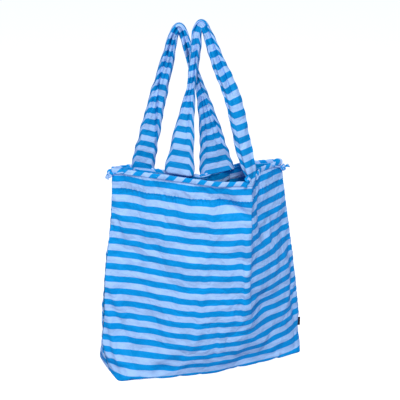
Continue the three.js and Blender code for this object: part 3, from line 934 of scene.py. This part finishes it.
TAPE_ROUNDING = 0.4


def tape_piece(name, node, material):
    """A tape or the label: it follows its CAD solid, with soft edges and its own weave."""
    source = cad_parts[node]
    piece = bpy.data.objects.new(name, source.data.copy())
    bpy.context.scene.collection.objects.link(piece)
    mesh = piece.data
    mesh.materials.clear()
    mesh.materials.append(material)
    work = bmesh.new()
    work.from_mesh(mesh)
    bmesh.ops.remove_doubles(work, verts=work.verts, dist=1e-6)
    sharp = [e for e in work.edges if e.is_manifold and e.calc_face_angle(0) > 0.8]
    bmesh.ops.bevel(
        work, geom=sharp, offset=TAPE_ROUNDING * MM, segments=3, affect="EDGES", clamp_overlap=True
    )
    layer = work.loops.layers.uv.new("cloth")
    for face in work.faces:
        face.smooth = True
        for loop in face.loops:
            p = loop.vert.co / MM
            loop[layer].uv = ((p.x + p.y) / PITCH, p.z / PITCH)
    work.to_mesh(mesh)
    work.free()
    return dress(piece, "bag", node)


# ---- camera, light and floor, in metres ----
CAMERA_PLACE = (-0.5468, -1.7934, 1.1371)
CAMERA_LENS = 108.37
LOOK_DOWN, LOOK_ROUND = 24.0, 16.768  # degrees below level, and to the right of straight ahead
SKY = (0.41, 0.46, 0.61, 1)
LIGHT_COLOUR = (1.0, 0.93, 0.76)
LIGHTS = (("key", (-0.5, -1.9, 1.9), 0.5, 49), ("fill", (-1.8, -1.0, 0.9), 1.2, 6))
LIT_POINT = (0, -0.03, 0.3)
FLOOR_SIZE = 6.0  # half its width
FLOOR_GLOW = 0.49  # the floor shines a little itself, so that it comes out white as in the photo


def aim(thing, direction):
    thing.rotation_mode = "QUATERNION"
    thing.rotation_quaternion = Vector(direction).to_track_quat("-Z", "Y")


def build_camera_and_light():
    scene = bpy.context.scene
    camera = bpy.data.objects.new("camera", bpy.data.cameras.new("camera"))
    camera.data.lens = CAMERA_LENS
    camera.data.sensor_width = 36.0
    camera.location = CAMERA_PLACE
    down, turn = math.radians(LOOK_DOWN), math.radians(LOOK_ROUND)
    ahead = math.cos(down)
    aim(camera, (math.sin(turn) * ahead, math.cos(turn) * ahead, -math.sin(down)))
    scene.collection.objects.link(camera)
    scene.camera = camera
    scene.view_settings.view_transform = "Standard"

    world = bpy.data.worlds.new("studio")
    world.use_nodes = True
    sky = world.node_tree.nodes["Background"]
    sky.inputs["Color"].default_value = SKY
    sky.inputs["Strength"].default_value = 1.0
    scene.world = world

    for name, place, size, power in LIGHTS:
        light = bpy.data.objects.new(name, bpy.data.lights.new(name, "AREA"))
        light.data.size = size
        light.data.energy = power
        light.data.color = LIGHT_COLOUR
        light.location = place
        aim(light, Vector(LIT_POINT) - Vector(place))
        scene.collection.objects.link(light)


def build_floor():
    m = Nodes("studio_floor")
    m.shader.inputs["Base Color"].default_value = (0.97, 0.97, 0.97, 1)
    m.shader.inputs["Roughness"].default_value = 0.9
    m.shader.inputs["Specular IOR Level"].default_value = 0.0
    m.shader.inputs["Emission Color"].default_value = (1, 1, 1, 1)
    m.shader.inputs["Emission Strength"].default_value = FLOOR_GLOW
    corners = [(x * FLOOR_SIZE, y * FLOOR_SIZE, 0) for x, y in ((-1, -1), (1, -1), (1, 1), (-1, 1))]
    mesh = bpy.data.meshes.new("floor")
    mesh.from_pydata(corners, [], [(0, 1, 2, 3)])
    mesh.materials.append(m.material)
    floor = bpy.data.objects.new("floor", mesh)
    bpy.context.scene.collection.objects.link(floor)
    floor.visible_diffuse = False
    floor.visible_glossy = False


# ---- make everything ----
build_camera_and_light()
build_floor()

front_wall = wall("front_wall", "front_panel", FRONT)
back_wall = wall("back_wall", "back_panel", BACK)
base = base_sheet()
band("front_band", "front_casing", FRONT)
band("back_band", "back_casing", BACK)
front_hem = facing("front_hem_facing", "front_facing", FRONT)
back_hem = facing("back_hem_facing", "back_facing", BACK)

front_strap = strap("front_strap", FRONT_ROUTE, "front_handle", 5, 1.0, 20.4)
back_strap = strap("back_strap", BACK_ROUTE, "back_handle", 23, 0.0, 19.8, -17)
for end_name, side, foot, width in (
    ("front_{}_left_end", FRONT, 0.22, 42), ("front_{}_right_end", FRONT, 0.68, 32),
    ("back_{}_left_end", BACK, 0.19, 38), ("back_{}_right_end", BACK, 0.6, 56),
):
    sewn_end(end_name.format("strap"), end_name.format("handle"), side, foot, width)

drawstring("front_cord", "front_drawstring", FRONT)
drawstring("back_cord", "back_drawstring", BACK)
stitching("front_stitching", FRONT)
stitching("back_stitching", BACK)

# Where the cord comes out at each end of the mouth, and the direction in which it is pulled.
LEFT_MOUTH, LEFT_AXIS = (-157.3, -8.2, RIM - BAND_HEIGHT / 2), np.array([-0.809128, 0.587632, 0])
RIGHT_MOUTH, RIGHT_AXIS = (118.5, -53.2, RIM - BAND_HEIGHT / 2), np.array([0.889984, 0.455993, 0])
tied_end(
    "left_tie", "left_knot", "left_knot", LEFT_MOUTH, LEFT_AXIS,
    tail=LEFT_AXIS * 3 + [0, 0, -9], drop=[0, 0, -6], size=1.75,
)
tied_end(
    "right_tie", "right_knot", "right_knot", RIGHT_MOUTH, RIGHT_AXIS,
    tail=RIGHT_AXIS * 11 + [0, 0, 1], drop=[0, 0, -11],
)
on_band = wall_points(FRONT, 0.664, RIM, BAND_DEPTH + 2)[0, 0]
tied_end(
    "front_tie", "front_knot", "bag", on_band + [0, 0, 11], [-0.1, -0.05, -1],
    tail=[-4, -1, -8], drop=[0, 0, 0], size=0.95, stub_length=1, bias=False,
)

for place in ("left_seam", "right_seam", "left_corner", "right_corner"):
    tape_piece(place + "_tape", place + "_binding", TAPE)
tape_piece("label", "label_tab", LABEL)
